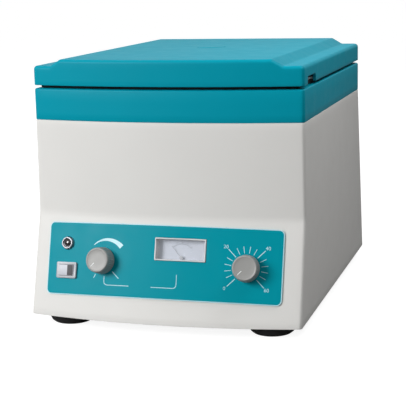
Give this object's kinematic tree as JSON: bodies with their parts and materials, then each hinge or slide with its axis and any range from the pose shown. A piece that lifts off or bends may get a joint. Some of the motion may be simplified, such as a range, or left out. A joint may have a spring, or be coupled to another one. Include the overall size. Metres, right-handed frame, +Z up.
{
  "type": "bench cytocentrifuge",
  "caption": "Closed bench cytocentrifuge: bowed cabinet with a leaning control front, hinged lid, steel bowl and a rotor with swinging slide clips.",
  "frame": {"origin": "centre of the box at the undersides of the feet", "axes": "+Z up, -Y towards the control front, +X to the right as seen from the front"},
  "size_m": [0.3136, 0.4333, 0.2988],
  "materials": {
    "teal_plastic": "smooth semi-gloss moulding",
    "white_enamel": "fine satin powder coat",
    "panel_teal": "printed satin film",
    "white_plastic": "smooth sheet",
    "grey_plastic": "satin moulding",
    "light_plastic": "satin moulding",
    "black_plastic": "satin moulding",
    "black_rubber": "matt rubber",
    "grey_rubber": "silicone seal",
    "stainless": "spun and brushed",
    "plated_steel": "zinc plated",
    "bright_steel": "ground and polished",
    "chrome_ring": "polished",
    "anodised": "clear anodised",
    "cast_alloy": "as cast",
    "motor_paint": "black enamel",
    "ferrite": "sintered",
    "copper_winding": "lacquered wire on a steel core",
    "carbon": "pressed carbon",
    "iron_core": "stacked sheets with a winding",
    "board_green": "printed circuit board",
    "phenolic": "moulded case",
    "dial_card": "printed card",
    "clear_glass": "polished",
    "clear_window": "clear moulding",
    "smoked_lens": "dark lens",
    "funnel_plastic": "translucent moulding with a paper card"
  },
  "bodies": {
    "housing": {"body_shell": "white_enamel", "top_ring": "teal_plastic", "base_plate": "plated_steel", "feet": "black_rubber", "foot_screws": "plated_steel", "bowl": "stainless", "shaft_boot": "black_rubber", "motor_can": "motor_paint", "motor_magnets": "ferrite", "motor_end_bells": "cast_alloy", "motor_bearings": "bright_steel", "motor_brushes": "carbon", "motor_plate": "plated_steel", "motor_dampers": "black_rubber", "motor_pillars": "plated_steel", "control_panel": "panel_teal", "meter_case": "light_plastic", "meter_dial": "dial_card", "meter_window": "clear_window", "switch_frame": "light_plastic", "pilot_bezel": "chrome_ring", "pilot_lens": "smoked_lens", "speed_control": "board_green", "timer_unit": "phenolic", "control_board": "board_green", "transformer": "iron_core", "power_inlet": "black_plastic", "fuse_holder": "black_plastic", "hinge_brackets": "plated_steel", "hinge_pins": "bright_steel"},
    "lid": {"lid_shell": "teal_plastic", "lid_liner": "white_plastic", "lid_gasket": "black_rubber", "bowl_seal": "grey_rubber", "lid_hinge_arms": "plated_steel"},
    "rotor": {"motor_shaft": "bright_steel", "motor_armature": "copper_winding", "rotor_plate": "anodised", "rotor_hub": "anodised", "rotor_seats": "stainless", "rotor_nut": "black_plastic"},
    "speed_dial": {"speed_knob": "grey_plastic", "speed_shaft": "bright_steel"},
    "time_dial": {"time_knob": "grey_plastic", "time_shaft": "bright_steel"},
    "rocker": {"switch_rocker": "light_plastic"},
    "needle": {"meter_needle": "black_plastic"},
    "clip_1": {"slide_clip_1": "stainless", "glass_slide_1": "clear_glass", "sample_funnel_1": "funnel_plastic"},
    "clip_2": {"slide_clip_2": "stainless", "glass_slide_2": "clear_glass", "sample_funnel_2": "funnel_plastic"},
    "clip_3": {"slide_clip_3": "stainless", "glass_slide_3": "clear_glass", "sample_funnel_3": "funnel_plastic"},
    "clip_4": {"slide_clip_4": "stainless", "glass_slide_4": "clear_glass", "sample_funnel_4": "funnel_plastic"}
  },
  "joints": [
    {"name": "lid_hinge", "type": "hinge", "parent": "housing", "child": "lid", "pos_m": [0, 0.1946, 0.268], "axis": [-1, 0, 0], "range_deg": [0, 95]},
    {"name": "rotor_spin", "type": "hinge", "parent": "housing", "child": "rotor", "pos_m": [0, 0.008, 0.1763], "axis": [0, 0, 1], "continuous": true},
    {"name": "speed_knob_turn", "type": "hinge", "parent": "housing", "child": "speed_dial", "pos_m": [-0.06985, -0.19988, 0.07825], "axis": [0.0891, 0.9586, -0.2703], "range_deg": [0, 270]},
    {"name": "time_knob_turn", "type": "hinge", "parent": "housing", "child": "time_dial", "pos_m": [0.09537, -0.19763, 0.07626], "axis": [-0.1217, 0.9553, -0.2693], "range_deg": [0, 270]},
    {"name": "rocker_tip", "type": "hinge", "parent": "housing", "child": "rocker", "pos_m": [-0.11314, -0.19374, 0.06374], "axis": [0, -0.2714, -0.9625], "range_deg": [0, 12]},
    {"name": "needle_swing", "type": "hinge", "parent": "housing", "child": "needle", "pos_m": [0.02086, -0.19106, 0.08314], "axis": [-0.027, 0.9621, -0.2713], "range_deg": [0, 84]},
    {"name": "clip_swing_1", "type": "hinge", "parent": "rotor", "child": "clip_1", "pos_m": [0.096, 0.008, 0.1873], "axis": [0, 1, 0], "range_deg": [0, 15]},
    {"name": "clip_swing_2", "type": "hinge", "parent": "rotor", "child": "clip_2", "pos_m": [0, 0.104, 0.1873], "axis": [-1, 0, 0], "range_deg": [0, 15]},
    {"name": "clip_swing_3", "type": "hinge", "parent": "rotor", "child": "clip_3", "pos_m": [-0.096, 0.008, 0.1873], "axis": [0, -1, 0], "range_deg": [0, 15]},
    {"name": "clip_swing_4", "type": "hinge", "parent": "rotor", "child": "clip_4", "pos_m": [0, -0.088, 0.1873], "axis": [1, 0, 0], "range_deg": [0, 15]}
  ]
}
